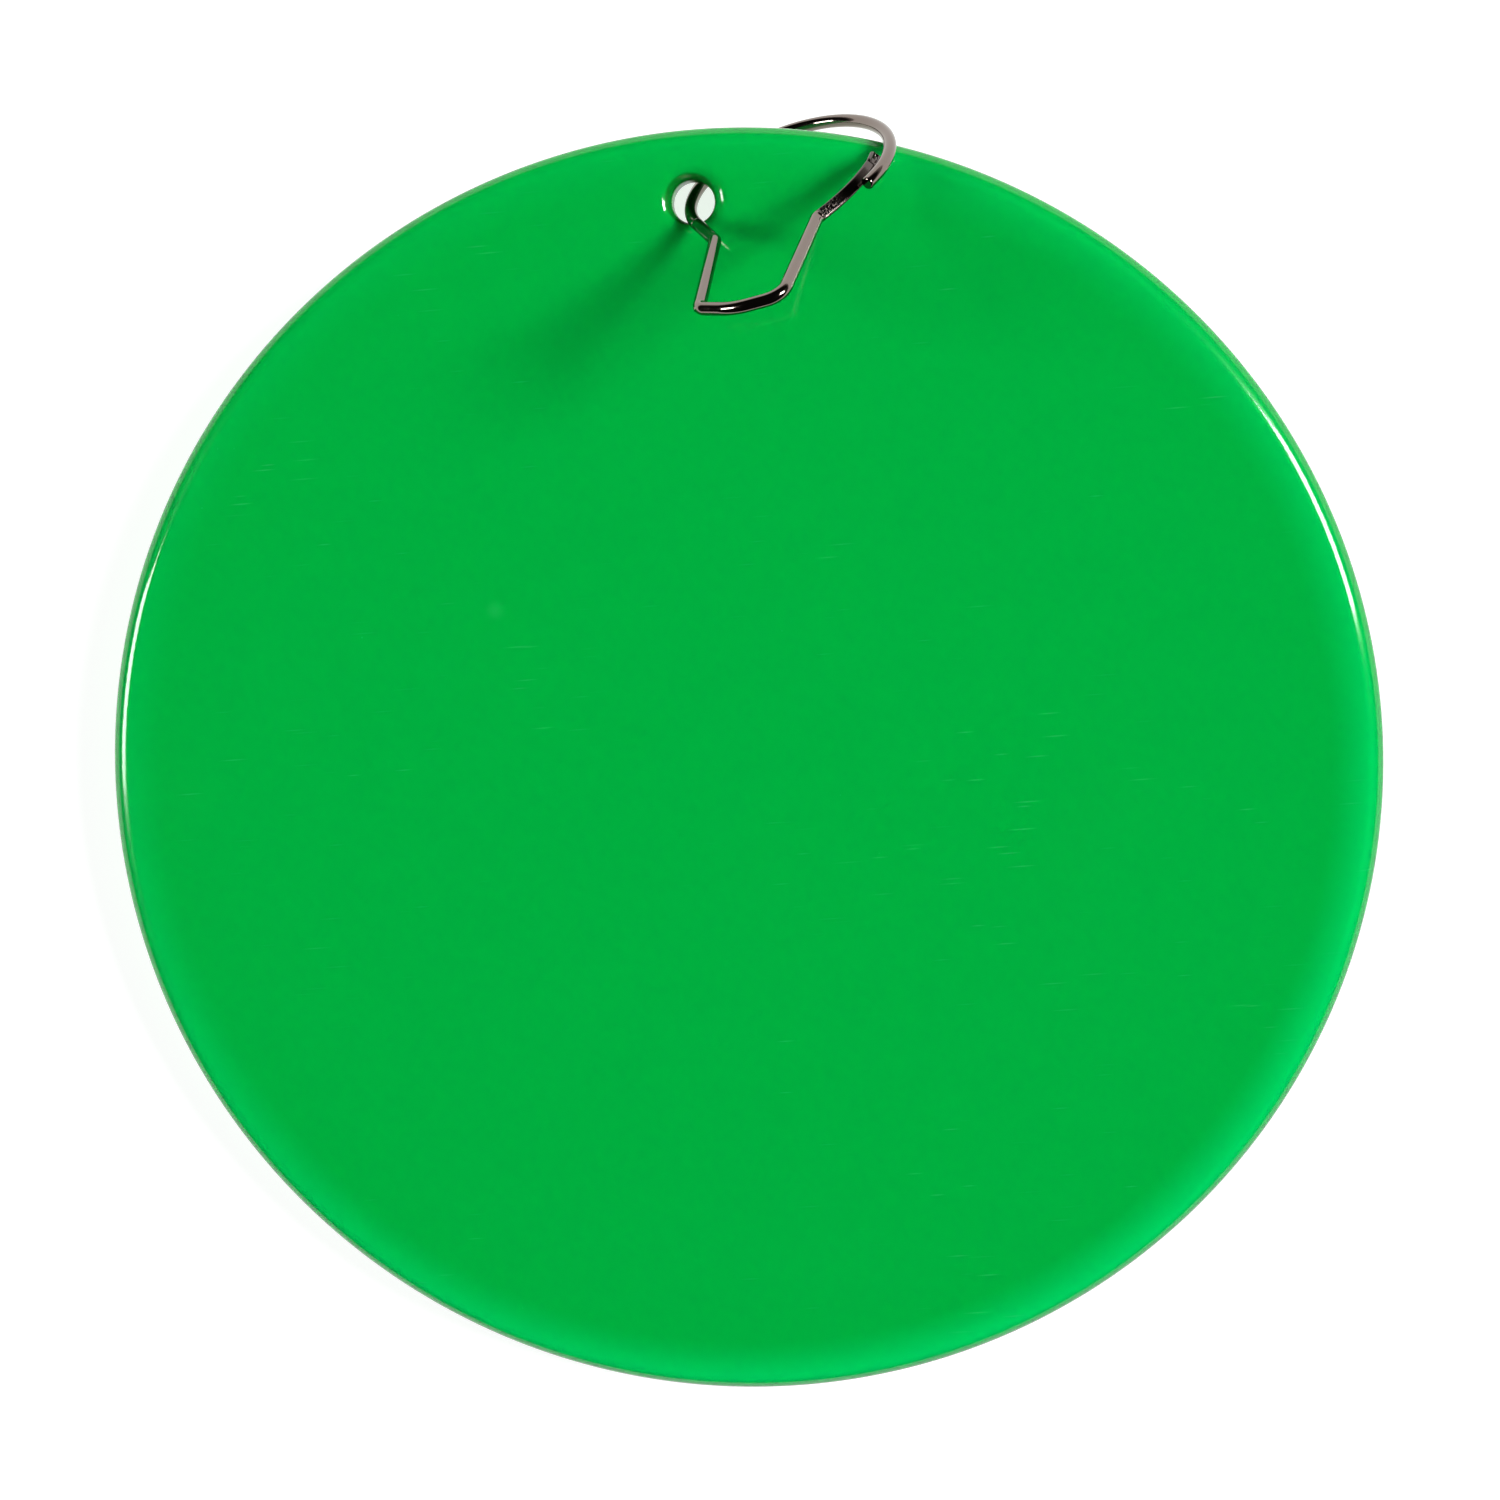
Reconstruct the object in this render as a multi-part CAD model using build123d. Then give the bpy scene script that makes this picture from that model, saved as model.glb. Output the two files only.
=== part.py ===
from build123d import *
from math import acos, atan2, cos, degrees, radians, sin
import os

# Driving dimensions, millimetres and degrees.

# The disc lies in the XY plane with its centre at the origin; the front face looks along +Z.
DISC_RADIUS = 101.6
DISC_THICKNESS = 8.0
RIM_ROUNDING = 3.4
HOLE_RADIUS = 3.3
HOLE_FROM_CENTRE = 90.5
HOLE_LIP_ROUNDING = 2.3

# The hook is one round wire. It is drawn in its own plane: x across the neck, y from the neck to the big loop.
WIRE_RADIUS = 1.0
LOOP_CENTRE = Vector(0.55, 15.63)
LOOP_RADIUS = 16.15
NECK_LEFT = Vector(-8.24, 0)
NECK_RIGHT = Vector(8.2, 0)
NECK_ROUNDING = 1.8
BELL_LEFT = Vector(-6.2, -19.7)
BELL_LEFT_ROUNDING = 1.6
BELL_BOTTOM = Vector(-0.3, -21.9)
BELL_BOTTOM_ROUNDING = 9.0
BELL_RIGHT = Vector(7.05, -21.0)
BELL_RIGHT_ROUNDING = 3.0

# The wire's lower end is pressed flat, slightly twisted, and ends in a grooved catch beside the loop's free end.
ARM_MIDDLE = Vector(12.45, 7.2)
ARM_THICKNESS = 1.0
ARM_WIDTH = 1.9
ARM_EDGE_ROUNDING = 0.4
ARM_TWIST = 38.0
ARM_OVERRUN = 3.0
SHOULDER_LENGTH = 0.8
CATCH_ANGLES = (-9.0, 2.0)
CATCH_RADIUS = 14.1
CATCH_THICKNESS = 1.2
CATCH_WIDTH = 2.1
GROOVE_RADIUS = 0.5
GROOVE_DEPTH = 0.35

# The gate is the loop's springy free end, from the place where it bends to its cut end, which stands out a little.
GATE_ANGLES = (-30.0, 70.0)
GATE_FLARE = 0.25
BEND_CLEARANCE = 0.05
CUT_END_CHAMFER = 0.2

# Where the hook stands: its plane passes through the hole's centre, tilted and turned against the disc.
CHORD_TURN = 16.6
PLANE_TILT = 59.1
HOOK_TURN = 20.9
LOOP_ALONG_CHORD = 15.2
LOOP_ABOVE_CHORD = 3.85


def turned(first, second, angle):
    """The direction at this angle between two perpendicular directions."""
    return first * cos(radians(angle)) + second * sin(radians(angle))


def hook_plane():
    """The hook's own plane, placed so that the loop runs through the hole and round the rim."""
    chord = turned(Vector(1, 0, 0), Vector(0, 1, 0), CHORD_TURN)
    outward = turned(Vector(1, 0, 0), Vector(0, 1, 0), CHORD_TURN + 90)
    below = turned(outward, Vector(0, 0, -1), PLANE_TILT)
    across = turned(chord, below, -HOOK_TURN)
    along = turned(chord, below, 90 - HOOK_TURN)
    centre = Vector(0, HOLE_FROM_CENTRE, 0) + chord * LOOP_ALONG_CHORD - below * LOOP_ABOVE_CHORD
    neck = centre - across * LOOP_CENTRE.X - along * LOOP_CENTRE.Y
    return Plane(origin=neck, x_dir=across, z_dir=across.cross(along))


def on_loop(angle, radius=LOOP_RADIUS):
    """A point round the loop's centre, in the hook's plane."""
    return LOOP_CENTRE + turned(Vector(1, 0, 0), Vector(0, 1, 0), angle) * radius


def flared(angle):
    """A point of the gate's centre line: its distance from the loop's centre grows with the square of the angle."""
    share = (GATE_ANGLES[1] - angle) / (GATE_ANGLES[1] - GATE_ANGLES[0])
    return on_loop(angle, LOOP_RADIUS + GATE_FLARE * share**2)


def arm_line():
    """The flattened arm's centre line, an arc from the neck to the catch."""
    tip = on_loop(CATCH_ANGLES[0] + ARM_OVERRUN, CATCH_RADIUS)
    return ThreePointArc(NECK_RIGHT, ARM_MIDDLE, tip)


def joins_loop_angle():
    """The angle at which the straight from the neck runs tangent into the loop."""
    to_neck = NECK_LEFT - LOOP_CENTRE
    return degrees(atan2(to_neck.Y, to_neck.X)) - degrees(acos(LOOP_RADIUS / to_neck.length)) + 360


def bell_path():
    """From the arm's shoulder, down round the bell and up to where the loop's circle starts."""
    shoulder = arm_line().position_at(SHOULDER_LENGTH, position_mode=PositionMode.LENGTH)
    corners = {
        NECK_RIGHT: NECK_ROUNDING,
        BELL_RIGHT: BELL_RIGHT_ROUNDING,
        BELL_BOTTOM: BELL_BOTTOM_ROUNDING,
        BELL_LEFT: BELL_LEFT_ROUNDING,
        NECK_LEFT: NECK_ROUNDING,
    }
    path = Wire(Polyline(shoulder, *corners, on_loop(joins_loop_angle())).edges())
    for corner, rounding in corners.items():
        path = path.fillet_2d(rounding, [path.vertices().sort_by_distance(corner)[0]])
    return path


def swept(path, section):
    """The section swept along the path, square to its start."""
    start = Plane(origin=path @ 0, x_dir=(0, 0, 1), z_dir=path % 0)
    return sweep(start * section, path=path)


def fixed_arc():
    """The loop's fixed side, from the straight up to the bend."""
    start, end = joins_loop_angle(), GATE_ANGLES[1]
    return ThreePointArc(on_loop(start), on_loop((start + end) / 2), on_loop(end))


def gate_arc():
    """The gate's centre line, from the bend to the cut end."""
    return ThreePointArc(flared(GATE_ANGLES[1]), flared(sum(GATE_ANGLES) / 2), flared(GATE_ANGLES[0]))


def bend_ball(radius):
    """The ball about which the gate turns, centred on the wire."""
    return Pos(*on_loop(GATE_ANGLES[1])) * Sphere(radius)


def disc():
    """A solid round plate, rounded all round its rim, with one lipped hole near the rim."""
    plate = Cylinder(DISC_RADIUS, DISC_THICKNESS)
    plate = fillet(plate.edges().filter_by(GeomType.CIRCLE), RIM_ROUNDING)
    plate -= Pos(0, HOLE_FROM_CENTRE, 0) * Cylinder(HOLE_RADIUS, DISC_THICKNESS)
    lips = plate.edges().filter_by(lambda edge: edge.geom_type == GeomType.CIRCLE and edge.radius < 2 * HOLE_RADIUS)
    return fillet(lips, HOLE_LIP_ROUNDING)


def hook_wire():
    """The fixed wire: the bell, the neck and the loop's fixed side up to the bend."""
    bell = swept(bell_path(), Circle(WIRE_RADIUS))
    loop = swept(fixed_arc(), Circle(WIRE_RADIUS))
    return bell + loop - bend_ball(WIRE_RADIUS + BEND_CLEARANCE)


def latch_arm():
    """The wire's pressed end: a flat strip that follows the loop's inside."""
    whole = arm_line()
    start = SHOULDER_LENGTH / whole.length
    path = whole.trim(start, 1)
    strip = Rot(0, 0, -ARM_TWIST) * RectangleRounded(ARM_WIDTH, ARM_THICKNESS, ARM_EDGE_ROUNDING)
    return split(swept(path, strip), bisect_by=catch_start(), keep=Keep.BOTTOM)


def catch_start():
    """The plane square to the loop in which the arm ends and the catch starts."""
    radial = turned(Vector(1, 0, 0), Vector(0, 1, 0), CATCH_ANGLES[0])
    return Plane(origin=LOOP_CENTRE, x_dir=radial, z_dir=Vector(0, 0, 1).cross(radial))


def latch_catch():
    """The catch: a thicker, short bar inside the loop with a groove along its flat, beside the gate's free end."""
    bar = RectangleRounded(CATCH_WIDTH, CATCH_THICKNESS, ARM_EDGE_ROUNDING)
    bar -= Pos(0, CATCH_THICKNESS / 2 + GROOVE_RADIUS - GROOVE_DEPTH) * Circle(GROOVE_RADIUS)
    profile = Pos(CATCH_RADIUS, 0) * Rot(0, 0, -90 - ARM_TWIST) * bar
    turn = CATCH_ANGLES[1] - CATCH_ANGLES[0]
    return revolve(catch_start() * profile, axis=Axis(LOOP_CENTRE, (0, 0, 1)), revolution_arc=turn)


def gate_wire():
    """The loop's free end, from its ball at the bend to its square-cut end beside the catch."""
    arc = swept(gate_arc(), Circle(WIRE_RADIUS))
    cut_end = arc.faces().sort_by_distance(flared(GATE_ANGLES[0]))[0]
    return chamfer(cut_end.edges(), CUT_END_CHAMFER) + bend_ball(WIRE_RADIUS)


def write_part(name, shape):
    """Saves one sub-part as a STEP file."""
    export_step(shape, f"parts/{name}.step")


os.makedirs("parts", exist_ok=True)
hook = hook_plane().location
write_part("disc", disc())
write_part("hook_wire", hook * hook_wire())
write_part("latch_arm", hook * latch_arm())
write_part("latch_catch", hook * latch_catch())
write_part("gate_wire", hook * gate_wire())
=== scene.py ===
"""A solid translucent throwing disc, hung by a pear-shaped wire hook through the small hole near its rim."""

import math

import bpy
import numpy as np
from mathutils import Matrix, Vector


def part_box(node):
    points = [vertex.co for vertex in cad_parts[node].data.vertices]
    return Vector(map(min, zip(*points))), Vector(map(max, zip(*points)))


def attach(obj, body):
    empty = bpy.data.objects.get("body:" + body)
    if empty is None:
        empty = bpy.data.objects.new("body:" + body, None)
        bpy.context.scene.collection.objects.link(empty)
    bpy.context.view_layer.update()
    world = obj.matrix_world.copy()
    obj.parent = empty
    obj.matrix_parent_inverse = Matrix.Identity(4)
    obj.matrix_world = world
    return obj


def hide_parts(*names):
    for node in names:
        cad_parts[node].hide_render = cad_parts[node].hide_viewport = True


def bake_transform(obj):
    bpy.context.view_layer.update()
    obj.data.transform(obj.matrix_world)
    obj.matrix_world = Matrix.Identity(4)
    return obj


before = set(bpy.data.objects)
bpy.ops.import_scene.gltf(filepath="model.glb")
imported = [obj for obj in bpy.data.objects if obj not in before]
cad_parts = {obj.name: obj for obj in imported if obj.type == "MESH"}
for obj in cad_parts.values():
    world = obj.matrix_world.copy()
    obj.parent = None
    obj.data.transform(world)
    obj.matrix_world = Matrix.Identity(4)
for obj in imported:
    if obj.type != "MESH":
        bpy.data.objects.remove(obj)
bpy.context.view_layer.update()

bl_info = {
    "name": "Throwing disc with wire hook",
    "version": (1, 0, 0),
    "blender": (4, 5, 0),
    "location": "View3D > Sidebar > Throwing disc",
    "description": "Builds the disc, its wire hook with the pressed latch, and a plain studio",
    "category": "Object",
}

MM = 0.001
CAD_DISC_LOW, CAD_DISC_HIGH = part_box("disc")

# mesh fineness
PLATE_AROUND = 900
FACE_STEPS = 26
ROUNDING_STEPS = 15
WIRE_AROUND = 40
WIRE_STEP = 0.18
LOOP_STEPS = 420
STRIP_AROUND = 64
BAR_AROUND = 128
BAR_STEPS = 80

# hairlines on the plastic: turn in radians, millimetres apart, how far drawn out, and size of the noise that
# gathers them in patches
HAIRLINES = ((0.5, 3.2, 14, 31.0), (1.2, 4.1, 9, 37.0), (2.1, 3.7, 11, 43.0), (2.8, 2.9, 17, 29.0))

# the floor's half size, in metres
FLOOR_HALF = 6


# ---- sizes and colours a user would change ----


class DiscSettings(bpy.types.PropertyGroup):
    """Sizes and colours of the disc."""

    radius: bpy.props.FloatProperty(
        name="Radius", description="Disc radius", default=CAD_DISC_HIGH.x, unit="LENGTH"
    )
    thickness: bpy.props.FloatProperty(
        name="Thickness",
        description="Thickness between the two faces",
        default=CAD_DISC_HIGH.z - CAD_DISC_LOW.z,
        unit="LENGTH",
    )
    rim_rounding: bpy.props.FloatProperty(
        name="Rim rounding", description="Radius of the rim's two edges", default=3.4 * MM, unit="LENGTH"
    )
    hole_radius: bpy.props.FloatProperty(
        name="Hole radius", description="Radius of the hanging hole", default=3.3 * MM, unit="LENGTH"
    )
    hole_from_centre: bpy.props.FloatProperty(
        name="Hole place", description="Distance from the disc's centre to the hole's", default=90.5 * MM, unit="LENGTH"
    )
    lip_rounding: bpy.props.FloatProperty(
        name="Hole lip", description="Radius of the hole's two rounded lips", default=2.3 * MM, unit="LENGTH"
    )
    plastic: bpy.props.StringProperty(
        name="Plastic colour", description="sRGB hex colour of the plastic", default="#00A83C"
    )
    # painted light: colour of the plastic painted lighter near its rim, standing in for light gathered there; it does
    # not follow the lamps
    painted_rim_light: bpy.props.StringProperty(
        name="Edge colour",
        description="sRGB hex colour of the plastic where light gathers at its rim",
        default="#00DC6C",
    )
    # painted shade: colour of a darker band painted on the rim's outermost millimetres
    painted_rim_shade: bpy.props.StringProperty(
        name="Edge shade", description="sRGB hex colour of the plastic on the rim's outermost band", default="#008F3E"
    )
    scratched: bpy.props.StringProperty(
        name="Scratch colour", description="sRGB hex colour of scratched plastic", default="#3CC878"
    )
    # painted shade: colour painted on the hole's wall to stand in for the shade inside the hole
    painted_wall_shade: bpy.props.StringProperty(
        name="Hole wall colour", description="sRGB hex colour of the hole's drilled wall", default="#007A22"
    )


class HookSettings(bpy.types.PropertyGroup):
    """Sizes and colours of the wire hook."""

    wire_radius: bpy.props.FloatProperty(
        name="Wire radius", description="Radius of the round wire", default=1.0 * MM, unit="LENGTH"
    )
    loop_radius: bpy.props.FloatProperty(
        name="Loop radius", description="Radius of the big loop's centre line", default=16.15 * MM, unit="LENGTH"
    )
    gate_flare: bpy.props.FloatProperty(
        name="Gate flare",
        description="How far the gate's cut end stands out of the circle",
        default=0.25 * MM,
        unit="LENGTH",
    )
    gate_end: bpy.props.FloatProperty(
        name="Gate end",
        description="Angle of the gate's cut end round the loop",
        default=math.radians(-30),
        subtype="ANGLE",
    )
    gate_bend: bpy.props.FloatProperty(
        name="Gate bend", description="Angle about which the gate bends", default=math.radians(70), subtype="ANGLE"
    )
    arm_width: bpy.props.FloatProperty(
        name="Arm width", description="Width of the pressed arm", default=1.9 * MM, unit="LENGTH"
    )
    arm_thickness: bpy.props.FloatProperty(
        name="Arm thickness", description="Thickness of the pressed arm", default=1.0 * MM, unit="LENGTH"
    )
    plating: bpy.props.StringProperty(
        name="Plating colour", description="sRGB hex colour of the nickel plating", default="#80756E"
    )
    # darker than the plating: partly the press, and partly painted shade for the shadowed face of the pressed arm and
    # catch
    pressed: bpy.props.StringProperty(
        name="Pressed colour", description="sRGB hex colour of the plating where it was pressed", default="#5C5552"
    )


class StudioSettings(bpy.types.PropertyGroup):
    """The floor and the lamps."""

    floor: bpy.props.StringProperty(name="Floor colour", description="sRGB hex colour of the floor", default="#ABABAB")
    floor_glow: bpy.props.FloatProperty(
        name="Floor glow", description="Light that the floor gives off itself round the disc", default=0.8
    )
    right_power: bpy.props.FloatProperty(
        name="Right lamp", description="Power of the right softbox", default=202.0, unit="POWER"
    )
    left_power: bpy.props.FloatProperty(
        name="Left lamp", description="Power of the left softbox", default=101.0, unit="POWER"
    )


# ---- numpy shapes ----


def unit(rows):
    """Each row divided by its length."""
    return rows / np.linalg.norm(rows, axis=-1, keepdims=True)


def mesh_piece(name, rings, material, lengths=None):
    """A closed mesh whose rings[i, j] are points, each ring closed on itself. Without lengths the rings also close
    on the first one; with them, one for each ring in metres, a flat fan closes each end, and the uv map's u is the
    length and its v the way round the middle ring."""
    count, around = rings.shape[:2]
    i = (np.arange(count) * around)[:, None]
    following = np.roll(i, -1, 0)
    j = np.arange(around)[None, :]
    after = (j + 1) % around
    quads = np.stack([i + j, i + after, following + after, following + j], -1)
    points = rings.reshape(-1, 3)
    mesh = bpy.data.meshes.new(name)
    if lengths is None:
        mesh.from_pydata(points.tolist(), [], quads.reshape(-1, 4).tolist())
        mesh.shade_smooth()
    else:
        quads = quads[:-1].reshape(-1, 4)
        turn, end = j[0], (count - 1) * around
        first, last = np.full(around, count * around), np.full(around, count * around + 1)
        fans = np.concatenate(
            [np.stack([first, after[0], turn], -1), np.stack([last, end + turn, end + after[0]], -1)]
        )
        points = np.concatenate([points, rings[:1].mean(1), rings[-1:].mean(1)])
        mesh.from_pydata(points.tolist(), [], quads.tolist() + fans.tolist())
        mesh.polygons.foreach_set("use_smooth", np.arange(len(quads) + len(fans)) < len(quads))
        girth = np.linalg.norm(np.roll(rings[count // 2], -1, 0) - rings[count // 2], axis=1)
        v = np.concatenate([[0.0], np.cumsum(girth)])
        u_near, v_near = np.meshgrid(lengths[:-1], v[:-1], indexing="ij")
        u_far, v_far = np.meshgrid(lengths[1:], v[1:], indexing="ij")
        corners = np.stack([u_near, v_near, u_near, v_far, u_far, v_far, u_far, v_near], -1)
        ends = np.repeat([[lengths[0], 0.0], [lengths[-1], 0.0]], 3 * around, 0)
        uv = np.concatenate([corners.reshape(-1, 2), ends])
        mesh.uv_layers.new(name="UVMap").data.foreach_set("uv", uv.ravel())
    mesh.materials.append(material)
    mesh.update()
    piece = bpy.data.objects.new(name, mesh)
    bpy.context.scene.collection.objects.link(piece)
    return piece


def rounded_corners(corners, roundings, step):
    """Points along a polyline whose corners are replaced by tangent arcs: at a corner turning by an angle a, an arc of
    radius r starts r tan(a/2) before the corner and ends as far after it."""
    stations = [corners[0]]
    for before, corner, after, radius in zip(corners[:-2], corners[1:-1], corners[2:], roundings):
        arriving, leaving = unit(corner - before), unit(after - corner)
        turn = math.atan2(arriving[0] * leaving[1] - arriving[1] * leaving[0], arriving @ leaving)
        start = corner - arriving * radius * math.tan(abs(turn) / 2)
        side = math.copysign(1.0, turn) * np.array([-arriving[1], arriving[0]])
        swing = np.linspace(0, abs(turn), 24)[:, None]
        stations += list(start + arriving * radius * np.sin(swing) + side * radius * (1 - np.cos(swing)))
    stations.append(corners[-1])
    return evenly(np.array(stations), step)


def evenly(points, step):
    """The same line with points an even step apart, by length along it."""
    lengths = np.concatenate([[0], np.cumsum(np.linalg.norm(np.diff(points, axis=0), axis=1))])
    even = np.linspace(0, lengths[-1], max(8, round(lengths[-1] / step)))
    return np.stack([np.interp(even, lengths, points[:, k]) for k in range(points.shape[1])], -1)


def along(points):
    """Length along a line at each of its points."""
    return np.concatenate([[0], np.cumsum(np.linalg.norm(np.diff(points, axis=0), axis=1))])


# ---- the hook's own plane, drawn in millimetres ----

LOOP_CENTRE = np.array([0.55, 15.63])
NECK_LEFT = np.array([-8.24, 0.0])
NECK_RIGHT = np.array([8.2, 0.0])
ARM_MIDDLE = np.array([12.45, 7.2])
BELL = ((7.05, -21.0, 3.0), (-0.3, -21.9, 9.0), (-6.2, -19.7, 1.6))
NECK_ROUNDING = 1.8
SHOULDER = 0.6
ARM_TWIST = math.radians(38)
CATCH_ANGLES = (-9.0, 2.0)
CATCH_RADIUS = 14.1
CATCH_HALVES = (0.6, 1.05)
HOLE_FROM_CENTRE = 90.5

# how the hook's plane stands to the disc, in degrees, and where the loop's centre lies in it
CHORD_TURN, PLANE_TILT, HOOK_TURN = 16.6, 59.1, 20.9
LOOP_ALONG_CHORD = 15.2
LOOP_ABOVE_CHORD = 3.85


def hook_axes():
    """The hook's plane: its neck's middle, the way across the neck, the way up to the loop and the plane's normal.
    It holds the hole's centre, is tilted to the disc, and the hook is turned in it."""
    chord_turn, tilt, turn = np.radians([CHORD_TURN, PLANE_TILT, HOOK_TURN])
    chord = np.array([np.cos(chord_turn), np.sin(chord_turn), 0])
    outward = np.array([-np.sin(chord_turn), np.cos(chord_turn), 0])
    below = outward * np.cos(tilt) - np.array([0, 0, 1]) * np.sin(tilt)
    across = chord * np.cos(turn) - below * np.sin(turn)
    up = chord * np.sin(turn) + below * np.cos(turn)
    centre = np.array([0, HOLE_FROM_CENTRE, 0]) + chord * LOOP_ALONG_CHORD - below * LOOP_ABOVE_CHORD
    return centre - across * LOOP_CENTRE[0] - up * LOOP_CENTRE[1], across, up, np.cross(across, up)


def in_frame(flat):
    """Points of the hook's plane, in millimetres, as points of the row frame in metres."""
    neck, across, up, _ = hook_axes()
    return (neck + flat[:, :1] * across + flat[:, 1:] * up) * MM


def loop_point(angle, radius):
    """The point at that angle, in radians, and distance from the loop's centre, in millimetres."""
    return LOOP_CENTRE + np.stack([radius * np.cos(angle), radius * np.sin(angle)], -1)


def joins_loop():
    """The angle where the straight from the neck runs tangent into the loop's circle."""
    radius = bpy.context.scene.hook_settings.loop_radius / MM
    to_neck = NECK_LEFT - LOOP_CENTRE
    return math.atan2(to_neck[1], to_neck[0]) - math.acos(radius / np.linalg.norm(to_neck)) + 2 * math.pi


def arc_through(start, middle, end, count):
    """Points of the circle through three points, from the first to the last: its centre is where the
    perpendicular bisectors of the two chords meet."""
    rows = 2 * np.array([middle - start, end - middle])
    centre = np.linalg.solve(rows, np.array([middle @ middle - start @ start, end @ end - middle @ middle]))
    angles = np.unwrap([math.atan2(*(p - centre)[::-1]) for p in (start, middle, end)])
    sweep = np.linspace(angles[0], angles[2], count)[:, None]
    return centre + np.linalg.norm(start - centre) * np.concatenate([np.cos(sweep), np.sin(sweep)], 1)


def arm_line():
    """The pressed arm's centre line, from the neck to the catch."""
    tip = loop_point(np.radians(CATCH_ANGLES[0] + 3.0), CATCH_RADIUS)
    return evenly(arc_through(NECK_RIGHT, ARM_MIDDLE, tip, 400), 0.08)


def carried(line, section):
    """Rings of a section carried along a line of the hook's plane: each ring's first coordinate lies in the
    plane, square to the line, and its second along the plane's normal. Lengths in millimetres in, metres out."""
    _, _, _, normal = hook_axes()
    points = in_frame(line)
    tangent = unit(np.gradient(points, axis=0))
    side = np.cross(normal, tangent)
    return points[:, None] + (section[..., :1] * side[:, None] + section[..., 1:] * normal) * MM


def round_section(count, around, radius):
    """count equal circles, as offsets in millimetres."""
    angle = np.linspace(0, 2 * np.pi, around, endpoint=False)
    circle = np.stack([np.cos(angle), np.sin(angle)], -1) * radius
    return np.tile(circle, (count, 1, 1))


def rotated(section, angle):
    """The section turned by that angle in its own plane."""
    turn = np.array([[math.cos(angle), math.sin(angle)], [-math.sin(angle), math.cos(angle)]])
    return section @ turn


def squarish(angle, half_in_plane, half_across, power):
    """A superellipse: |x/a|^p + |y/b|^p = 1, round at power 2 and nearly a flat strip at high powers."""
    c, s = np.cos(angle), np.sin(angle)
    reach = (np.abs(c / half_in_plane) ** power + np.abs(s / half_across) ** power) ** (-1 / power)
    return np.stack([c * reach, s * reach], -1)


# ---- materials ----


def linear(code):
    """An sRGB hex colour as linear red, green, blue, alpha."""
    parts = [int(code[i : i + 2], 16) / 255 for i in (1, 3, 5)]
    return [c / 12.92 if c <= 0.04045 else ((c + 0.055) / 1.055) ** 2.4 for c in parts] + [1.0]


def add(tree, kind, links=None, inputs=None, **settings):
    """Adds a node: settings are its own properties, inputs its sockets' values, and links its sockets' sources."""
    node = tree.nodes.new(kind)
    for key, value in settings.items():
        setattr(node, key, value)
    for key, value in (inputs or {}).items():
        node.inputs[key].default_value = value
    for key, source in (links or {}).items():
        tree.links.new(source, node.inputs[key])
    return node


def new_material(name):
    """An empty material and its tree, with only its output."""
    material = bpy.data.materials.new(name)
    material.use_nodes = True
    tree = material.node_tree
    tree.nodes.clear()
    return material, tree, add(tree, "ShaderNodeOutputMaterial")


def hairlines(tree, coordinates, turn, apart, half_width, stretch):
    """Short straight hairlines, all running one way, at most one in each cell: round spots drawn out along that
    way, so that each fades towards its ends. 1 on a line's middle and 0 off it; sizes are in metres."""
    turned = add(
        tree,
        "ShaderNodeMapping",
        {"Vector": coordinates},
        {"Rotation": (0, 0, turn), "Scale": (1 / (apart * stretch), 1 / apart, 0)},
    )
    cells = add(
        tree, "ShaderNodeTexVoronoi", {"Vector": turned.outputs["Vector"]}, {"Scale": 1.0}, voronoi_dimensions="2D"
    )
    return share(tree, cells.outputs["Distance"], half_width / apart, 0.0)


def spots(tree, coordinates, apart, radius):
    """Round soft spots, at most one in each cell of that size: 1 in their middle, 0 from their radius on."""
    cells = add(tree, "ShaderNodeTexVoronoi", {"Vector": coordinates}, {"Scale": 1 / apart}, feature="F1")
    spot = add(
        tree,
        "ShaderNodeMapRange",
        {"Value": cells.outputs["Distance"]},
        {"From Min": 0.0, "From Max": radius / apart, "To Min": 1.0, "To Max": 0.0},
        interpolation_type="SMOOTHSTEP",
    )
    return spot.outputs["Result"]


def kept_where(tree, value, coordinates, scale, low, high):
    """The value times a soft noise mask, so that marks come in patches."""
    noise = add(tree, "ShaderNodeTexNoise", {"Vector": coordinates}, {"Scale": scale, "Detail": 1.0})
    mask = add(tree, "ShaderNodeMapRange", {"Value": noise.outputs["Fac"]}, {"From Min": low, "From Max": high})
    return times(tree, value, mask.outputs["Result"])


def times(tree, first, second):
    """The product of two values."""
    return add(tree, "ShaderNodeMath", {0: first, 1: second}, operation="MULTIPLY").outputs["Value"]


def larger(tree, first, second):
    """The larger of two values."""
    return add(tree, "ShaderNodeMath", {0: first, 1: second}, operation="MAXIMUM").outputs["Value"]


def share(tree, value, low, high, smooth=False):
    """Where a value lies between two bounds, from 0 at low to 1 at high, kept between them."""
    bounds = {"From Min": low, "From Max": high}
    kind = "SMOOTHSTEP" if smooth else "LINEAR"
    return add(tree, "ShaderNodeMapRange", {"Value": value}, bounds, interpolation_type=kind).outputs["Result"]


def blended(tree, factor, first, second):
    """A colour mixed from two colours, each a socket or a constant."""
    node = add(tree, "ShaderNodeMix", {0: factor}, data_type="RGBA")
    for socket, colour in ((6, first), (7, second)):
        if isinstance(colour, bpy.types.NodeSocket):
            tree.links.new(colour, node.inputs[socket])
        else:
            node.inputs[socket].default_value = colour
    return node.outputs[2]


def distance_from(tree, coordinates, x, y):
    """Distance from an upright line through x, y."""
    flat = add(
        tree,
        "ShaderNodeMapping",
        {"Vector": coordinates},
        {"Location": (-x, -y, 0), "Scale": (1, 1, 0)},
        vector_type="POINT",
    )
    return add(tree, "ShaderNodeVectorMath", {0: flat.outputs["Vector"]}, operation="LENGTH").outputs["Value"]


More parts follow.
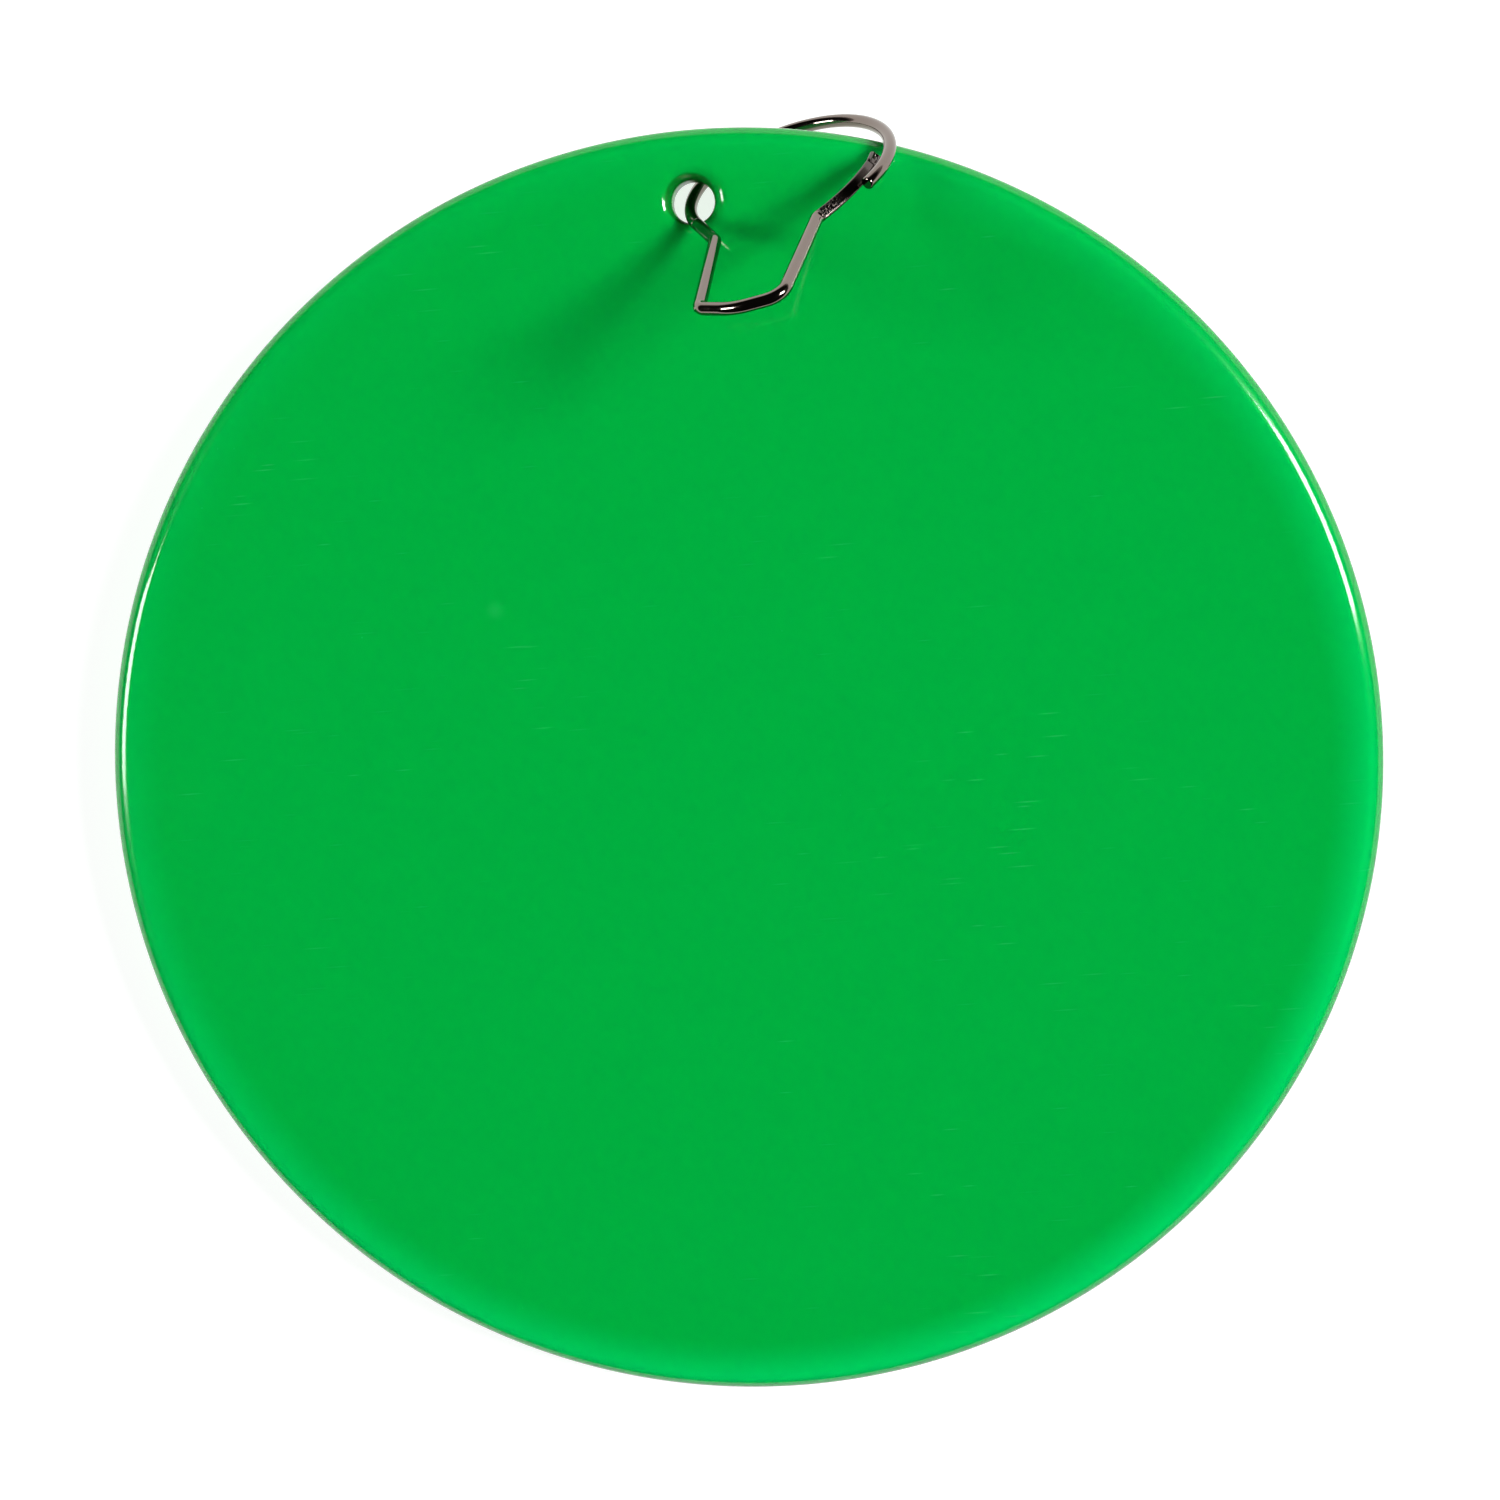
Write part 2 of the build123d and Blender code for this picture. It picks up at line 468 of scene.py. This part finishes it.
def cast_plastic():
    """Translucent cast plastic with a polished face. Light and shade are painted into its colour: it is painted
    lighter in the last millimetres before the rim, more on the side away from the hole, as painted light that does
    not follow the lamps; a darker band of painted shade lies on the rim's outermost millimetres; and the hole's wall
    is dull and painted dark as painted shade. Handling leaves faint hairline scratches, dust specks and small hazy
    rubs."""
    settings = bpy.context.scene.disc_settings
    material, tree, output = new_material("translucent_cast_plastic")
    place = add(tree, "ShaderNodeTexCoord").outputs["Object"]

    # painted light: the plastic is painted lighter over the last 8.8 mm before the rim, most towards the lower right,
    # away from the hole; painted shade: a darker band on the outermost 2.6 mm
    radius = distance_from(tree, place, 0, 0)
    nearness = share(tree, radius, settings.radius - 8.8 * MM, settings.radius)
    painted_rim_light_share = add(tree, "ShaderNodeMath", {0: nearness}, {1: 1.35}, operation="POWER").outputs["Value"]
    side = add(
        tree, "ShaderNodeVectorMath", {0: place}, {1: (0.45, -0.89, 0)}, operation="DOT_PRODUCT"
    ).outputs["Value"]
    painted_light_side = add(
        tree,
        "ShaderNodeMapRange",
        {"Value": side},
        {"From Min": -settings.radius, "From Max": settings.radius, "To Min": 0.15, "To Max": 1.0},
    ).outputs["Result"]
    inside = share(tree, radius, settings.radius - 0.3 * MM, settings.radius - 2.6 * MM, smooth=True)
    edge = blended(tree, inside, linear(settings.painted_rim_shade), linear(settings.painted_rim_light))
    colour = blended(tree, times(tree, painted_rim_light_share, painted_light_side), linear(settings.plastic), edge)

    # painted shade: the hole's wall is painted dark, 0.4 mm off the hole's centre, so that it shows as a crescent of
    # shade
    from_hole = distance_from(tree, place, -0.3 * MM, settings.hole_from_centre + 0.3 * MM)
    wall = share(tree, from_hole, settings.hole_radius + 0.85 * MM, settings.hole_radius + 0.5 * MM)
    colour = blended(tree, wall, colour, linear(settings.painted_wall_shade))

    marks = None
    for turn, apart, stretch, patches in HAIRLINES:
        line = hairlines(tree, place, turn, apart * MM, 0.16 * MM, stretch)
        line = kept_where(tree, line, place, patches, 0.55, 0.68)
        marks = line if marks is None else larger(tree, marks, line)
    specks = kept_where(tree, spots(tree, place, 7 * MM, 0.22 * MM), place, 53.0, 0.5, 0.6)
    marks = larger(tree, marks, specks)
    rubs = kept_where(tree, spots(tree, place, 26 * MM, 2.2 * MM), place, 19.0, 0.52, 0.62)
    faint_rubs = add(tree, "ShaderNodeMath", {0: rubs}, {1: 0.16}, operation="MULTIPLY").outputs["Value"]
    faint_marks = add(tree, "ShaderNodeMath", {0: marks}, {1: 0.3}, operation="MULTIPLY").outputs["Value"]
    colour = blended(tree, larger(tree, faint_rubs, faint_marks), colour, linear(settings.scratched))

    haze_noise = add(tree, "ShaderNodeTexNoise", {"Vector": place}, {"Scale": 26.0, "Detail": 4.0, "Roughness": 0.6})
    haze = larger(tree, share(tree, haze_noise.outputs["Fac"], 0.35, 0.9), wall)
    roughness = add(
        tree, "ShaderNodeMapRange", {"Value": haze}, {"From Max": 1.0, "To Min": 0.05, "To Max": 0.25}
    ).outputs["Result"]
    # less shine on the outermost millimetre, so that the bright floor leaves no pale line there; a choice of look
    gloss = add(
        tree,
        "ShaderNodeMapRange",
        {"Value": radius},
        {
            "From Min": settings.radius - 0.35 * MM,
            "From Max": settings.radius - 1.3 * MM,
            "To Min": 0.12,
            "To Max": 0.5,
        },
    ).outputs["Result"]
    bump = add(tree, "ShaderNodeBump", {"Height": marks}, {"Strength": 0.15, "Distance": 0.01 * MM}, invert=True)
    shader = add(
        tree,
        "ShaderNodeBsdfPrincipled",
        {
            "Base Color": colour,
            "Roughness": roughness,
            "Specular IOR Level": gloss,
            "Normal": bump.outputs["Normal"],
        },
        {
            "IOR": 1.49,
            "Subsurface Weight": 1.0,
            "Subsurface Radius": (0.15, 1.0, 0.45),
            "Subsurface Scale": 2.0 * MM,
        },
        subsurface_method="BURLEY",
    )
    tree.links.new(shader.outputs["BSDF"], output.inputs["Surface"])
    return material


def nickel_plating():
    """Nickel-plated drawn steel wire: a warm grey mirror, slightly dulled, with fine draw lines along the wire and
    faint rub marks; the 0.1 mm lines are drawn twice as coarse so that they show."""
    settings = bpy.context.scene.hook_settings
    material, tree, output = new_material("nickel_plated_wire")
    way = add(tree, "ShaderNodeUVMap", uv_map="UVMap").outputs["UV"]
    stretched = add(tree, "ShaderNodeMapping", {"Vector": way}, {"Scale": (180.0, 5000.0, 1.0)})
    lines = add(tree, "ShaderNodeTexNoise", {"Vector": stretched.outputs["Vector"]}, {"Scale": 1.0, "Detail": 3.0})
    rubs = add(tree, "ShaderNodeTexNoise", {"Vector": way}, {"Scale": 420.0, "Detail": 4.0, "Roughness": 0.6})
    roughness = add(
        tree,
        "ShaderNodeMapRange",
        {"Value": rubs.outputs["Fac"]},
        {"From Min": 0.3, "From Max": 0.75, "To Min": 0.05, "To Max": 0.14},
    )
    bump = add(tree, "ShaderNodeBump", {"Height": lines.outputs["Fac"]}, {"Strength": 0.12, "Distance": 0.02 * MM})
    shader = add(
        tree,
        "ShaderNodeBsdfPrincipled",
        {"Roughness": roughness.outputs["Result"], "Normal": bump.outputs["Normal"]},
        {"Base Color": linear(settings.plating), "Metallic": 1.0},
    )
    tree.links.new(shader.outputs["BSDF"], output.inputs["Surface"])
    return material


def pressed_and_shaded_plating():
    """The same plating where the press flattened the wire: a little duller, and darker in colour, which is partly
    the press and partly painted shade for the shadowed face of the arm and catch; with short bright tool marks on
    the first five millimetres after its shoulder."""
    settings = bpy.context.scene.hook_settings
    material, tree, output = new_material("pressed_plating_and_painted_shade")
    way = add(tree, "ShaderNodeUVMap", uv_map="UVMap").outputs["UV"]
    stretched = add(
        tree,
        "ShaderNodeMapping",
        {"Vector": way},
        {"Scale": (1 / (0.35 * MM), 1 / (0.6 * MM), 1.0), "Rotation": (0, 0, 0.4)},
    )
    noise = add(
        tree,
        "ShaderNodeTexNoise",
        {"Vector": stretched.outputs["Vector"]},
        {"Scale": 1.0, "Detail": 3.0, "Roughness": 0.7},
    )
    length = add(tree, "ShaderNodeSeparateXYZ", {"Vector": way}).outputs["X"]
    first = share(tree, length, 6.5 * MM, 3.0 * MM)
    marks = times(tree, share(tree, noise.outputs["Fac"], 0.48, 0.66), first)
    roughness = add(
        tree,
        "ShaderNodeMapRange",
        {"Value": noise.outputs["Fac"]},
        {"To Min": 0.05, "To Max": 0.13},
    )
    bump = add(tree, "ShaderNodeBump", {"Height": marks}, {"Strength": 0.45, "Distance": 0.06 * MM})
    shader = add(
        tree,
        "ShaderNodeBsdfPrincipled",
        {"Roughness": roughness.outputs["Result"], "Normal": bump.outputs["Normal"]},
        {"Base Color": linear(settings.pressed), "Metallic": 1.0},
    )
    tree.links.new(shader.outputs["BSDF"], output.inputs["Surface"])
    return material


def lit_floor():
    """A white board lit through from below as well as from above, so that shadows on it stay pale."""
    settings = bpy.context.scene.studio_settings
    material, tree, output = new_material("backlit_white_board")
    place = add(tree, "ShaderNodeTexCoord").outputs["Object"]
    near = share(tree, distance_from(tree, place, 0, 0), 5.5, 0.6, smooth=True)
    glow = add(tree, "ShaderNodeMath", {0: near}, {1: settings.floor_glow}, operation="MULTIPLY").outputs["Value"]
    shader = add(
        tree,
        "ShaderNodeBsdfPrincipled",
        {"Emission Strength": glow},
        {
            "Base Color": linear(settings.floor),
            "Roughness": 0.9,
            "Specular IOR Level": 0.1,
            "Emission Color": linear("#FFFFFF"),
        },
    )
    tree.links.new(shader.outputs["BSDF"], output.inputs["Surface"])
    return material


# ---- operators ----


class DISC_OT_plate(bpy.types.Operator):
    """Build the disc: a plate with a rounded rim and one lipped hole"""

    bl_idname = "disc.plate"
    bl_label = "Disc"

    def execute(self, context):
        s = context.scene.disc_settings
        half = s.thickness / 2
        rim_angle = np.linspace(0, 2 * np.pi, PLATE_AROUND, endpoint=False)
        outward = np.stack([np.cos(rim_angle), np.sin(rim_angle)], -1)
        hole = np.array([0, s.hole_from_centre])
        rim_line = outward * (s.radius - s.rim_rounding)
        from_hole = unit(rim_line - hole)
        lip_line = hole + from_hole * (s.hole_radius + s.lip_rounding)
        quarter = np.linspace(0, np.pi / 2, ROUNDING_STEPS)

        # the front: from the hole's wall over the lip, across the face, and round the rim to its middle
        rows = []
        for a in quarter:
            reach = s.hole_radius + s.lip_rounding * (1 - np.cos(a))
            rows.append((hole + from_hole * reach, half - s.lip_rounding * (1 - np.sin(a))))
        for part in np.linspace(0, 1, FACE_STEPS)[1:-1]:
            rows.append((lip_line + (rim_line - lip_line) * part, half))
        for a in quarter:
            rows.append((rim_line + outward * s.rim_rounding * np.sin(a), half - s.rim_rounding * (1 - np.cos(a))))
        front = np.array([np.concatenate([flat, np.full((PLATE_AROUND, 1), z)], 1) for flat, z in rows])
        back = front[::-1] * (1, 1, -1)
        rings = np.concatenate([front, back])
        plate = mesh_piece("disc_plate", rings[:, ::-1], cast_plastic())
        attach(plate, "disc")
        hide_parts("disc")
        return {"FINISHED"}


class DISC_OT_hook_wire(bpy.types.Operator):
    """Build the round wire: the bell and neck, and the big loop whose free end is the gate"""

    bl_idname = "disc.hook_wire"
    bl_label = "Hook wire"

    def execute(self, context):
        s = context.scene.hook_settings
        plating = nickel_plating()
        radius = s.wire_radius / MM
        loop_radius = s.loop_radius / MM
        arm = arm_line()
        joins = joins_loop()
        corners = [arm[int(np.searchsorted(along(arm), SHOULDER))], NECK_RIGHT]
        corners += [np.array(c[:2]) for c in BELL] + [NECK_LEFT, loop_point(joins, loop_radius)]
        roundings = [NECK_ROUNDING] + [c[2] for c in BELL] + [NECK_ROUNDING]
        bell = rounded_corners(corners, roundings, WIRE_STEP)
        rings = carried(bell, round_section(len(bell), WIRE_AROUND, radius))
        bell_piece = mesh_piece("bell_wire", rings, plating, along(bell) * MM)
        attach(bell_piece, "hook")
        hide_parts("hook_wire")

        # the loop: a circle whose radius grows with the square of the angle past the bend
        angle = np.linspace(joins, s.gate_end, LOOP_STEPS)
        past = np.clip((s.gate_bend - angle) / (s.gate_bend - s.gate_end), 0, 1)
        line = loop_point(angle, loop_radius + s.gate_flare / MM * past**2)
        section = round_section(len(line), WIRE_AROUND, radius)
        # the cut end is bevelled
        bevel = 0.18
        to_end = np.clip(along(line)[-1] - along(line), 0, bevel)[:, None, None]
        section = section * (1 - (bevel - to_end) / radius * 0.8)
        loop = mesh_piece("loop_wire", carried(line, section), plating, (along(line) + along(bell)[-1]) * MM)
        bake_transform(loop)
        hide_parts("gate_wire")
        return {"FINISHED"}


class DISC_OT_latch(bpy.types.Operator):
    """Build the pressed arm and the grooved catch at its end"""

    bl_idname = "disc.latch"
    bl_label = "Latch"

    def execute(self, context):
        s = context.scene.hook_settings
        pressed = pressed_and_shaded_plating()
        line = arm_line()
        line = line[int(np.searchsorted(along(line), SHOULDER - 0.1)) :]
        length = along(line)
        # the round wire steps down to the strip within a third of a millimetre
        flat = np.clip((length - 0.15) / 0.35, 0, 1)
        flat = (flat * flat * (3 - 2 * flat))[:, None]
        angle = np.linspace(0, 2 * np.pi, STRIP_AROUND, endpoint=False)
        radius = s.wire_radius / MM
        thick = radius * (1 - flat) + s.arm_thickness / MM / 2 * flat
        wide = radius * (1 - flat) + s.arm_width / MM / 2 * flat
        section = rotated(squarish(angle[None, :], thick, wide, 2 + 2.0 * flat), -ARM_TWIST)
        arm = mesh_piece("latch_arm_strip", carried(line, section), pressed, length * MM)
        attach(arm, "hook")
        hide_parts("latch_arm")

        # the catch: a thicker bar round the loop's centre, twisted like the arm, with a groove along its flat
        turn = np.radians(np.linspace(CATCH_ANGLES[0] - 1.5, CATCH_ANGLES[1], BAR_STEPS))
        angle = np.linspace(0, 2 * np.pi, BAR_AROUND, endpoint=False)
        bar = squarish(angle, *CATCH_HALVES, 4.0)
        groove = np.where(bar[:, 0] < 0, 0.38 * np.exp(-((bar[:, 1] / 0.42) ** 4)), 0)
        from_tip = np.clip((turn[-1] - turn) / np.radians(3.2), 0, 1)[:, None]
        from_start = np.clip((turn - turn[0]) / np.radians(3.5), 0, 1)[:, None]
        size = np.sqrt(1 - (1 - from_tip) ** 2) * 0.85 + 0.15
        size = size * (0.86 + 0.14 * from_start * (2 - from_start))
        across = size * (bar[None, :, 0] + groove * from_start * np.clip(2 * from_tip - 0.6, 0, 1))
        bar = rotated(np.stack([across, size * bar[None, :, 1]], -1), -ARM_TWIST)
        line = loop_point(turn, CATCH_RADIUS)
        catch = mesh_piece("latch_catch_bar", carried(line, bar), pressed, (8 + along(line)) * MM)
        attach(catch, "hook")
        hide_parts("latch_catch")
        return {"FINISHED"}


def softbox(name, azimuth, elevation, distance, wide, high, power):
    """A soft rectangular lamp that looks at the disc's centre from that direction, sizes in degrees as seen."""
    lamp = bpy.data.lights.new(name, "AREA")
    lamp.shape = "RECTANGLE"
    lamp.size = 2 * distance * math.tan(math.radians(wide) / 2)
    lamp.size_y = 2 * distance * math.tan(math.radians(high) / 2)
    lamp.energy = power
    holder = bpy.data.objects.new(name, lamp)
    a, e = math.radians(azimuth), math.radians(elevation)
    away = Vector((math.cos(a) * math.cos(e), math.sin(a) * math.cos(e), math.sin(e)))
    holder.location = away * distance
    holder.rotation_mode = "QUATERNION"
    holder.rotation_quaternion = away.to_track_quat("Z", "Y")
    holder.visible_camera = False
    bpy.context.scene.collection.objects.link(holder)
    return holder


class DISC_OT_studio(bpy.types.Operator):
    """Set up the floor the disc leans on, the lamps, the sky light and the camera"""

    bl_idname = "disc.studio"
    bl_label = "Studio"

    def execute(self, context):
        scene, s = context.scene, context.scene.studio_settings
        # the floor touches the loop under the disc and the disc's opposite edge
        low = Vector((12.8, 100.9, -11.6)) * MM
        slope = (11.6 - 4.0) / (101.7 + 98.2)
        lean = Vector((low.x, low.y, 0)).normalized() * slope
        normal = (lean + Vector((0, 0, 1))).normalized()
        turn = normal.to_track_quat("Z", "Y").to_matrix()
        r = FLOOR_HALF
        corners = [low + turn @ Vector((x, y, 0)) for x, y in ((-r, -r), (r, -r), (r, r), (-r, r))]
        mesh = bpy.data.meshes.new("floor")
        mesh.from_pydata([tuple(c) for c in corners], [], [(0, 1, 2, 3)])
        mesh.materials.append(lit_floor())
        floor = bpy.data.objects.new("floor", mesh)
        scene.collection.objects.link(floor)

        softbox("softbox_right", 13.5, 37.0, 4.0, 17.0, 20.0, s.right_power)
        softbox("softbox_left", 176.0, 35.0, 4.0, 16.0, 20.0, s.left_power)

        world = bpy.data.worlds.new("studio_sky")
        scene.world = world
        world.use_nodes = True
        tree = world.node_tree
        tree.nodes.clear()
        place = add(tree, "ShaderNodeTexCoord").outputs["Generated"]
        height = add(tree, "ShaderNodeSeparateXYZ", {"Vector": place}).outputs["Z"]
        # bright only close to the horizon
        fade = add(
            tree,
            "ShaderNodeMapRange",
            {"Value": height},
            {"From Min": 0.0, "From Max": 0.12, "To Min": 0.45, "To Max": 0.01},
        ).outputs["Result"]
        sky = add(tree, "ShaderNodeBackground", {"Strength": fade}, {"Color": linear("#FFF7F2")})
        output = add(tree, "ShaderNodeOutputWorld")
        tree.links.new(sky.outputs["Background"], output.inputs["Surface"])

        camera = bpy.data.cameras.new("camera")
        camera.sensor_width = 36.0
        camera.lens = 57.6
        camera.clip_start, camera.clip_end = 0.02, 30.0
        holder = bpy.data.objects.new("camera", camera)
        look = Vector((-0.0645, -0.1218, -0.9905)).normalized()
        right = look.cross(Vector((0.0716, 0.9894, -0.1263))).normalized()
        up = right.cross(look)
        stand = Matrix.Translation(Vector((26.65, 51.03, 380.75)) * MM)
        holder.matrix_world = stand @ Matrix((right, up, -look)).transposed().to_4x4()
        scene.collection.objects.link(holder)
        scene.camera = holder
        scene.view_settings.view_transform = "Standard"
        scene.view_settings.look = "None"
        return {"FINISHED"}


class DISC_PT_panel(bpy.types.Panel):
    """Lists the pieces of the throwing disc"""

    bl_idname = "DISC_PT_panel"
    bl_label = "Throwing disc"
    bl_space_type = "VIEW_3D"
    bl_region_type = "UI"
    bl_category = "Throwing disc"

    def draw(self, context):
        for operator in PIECES:
            self.layout.operator(operator.bl_idname)


PIECES = (DISC_OT_plate, DISC_OT_hook_wire, DISC_OT_latch, DISC_OT_studio)
SETTINGS = {"disc_settings": DiscSettings, "hook_settings": HookSettings, "studio_settings": StudioSettings}


def register():
    """Registers the settings, the operators and the panel."""
    for kind in (*SETTINGS.values(), *PIECES, DISC_PT_panel):
        bpy.utils.register_class(kind)
    for name, kind in SETTINGS.items():
        setattr(bpy.types.Scene, name, bpy.props.PointerProperty(type=kind))


def unregister():
    """Takes them out again."""
    for name in SETTINGS:
        delattr(bpy.types.Scene, name)
    for kind in reversed((*SETTINGS.values(), *PIECES, DISC_PT_panel)):
        bpy.utils.unregister_class(kind)


def main():
    """Builds everything."""
    register()
    bpy.ops.disc.plate()
    bpy.ops.disc.hook_wire()
    bpy.ops.disc.latch()
    bpy.ops.disc.studio()


if __name__ == "__main__":
    main()
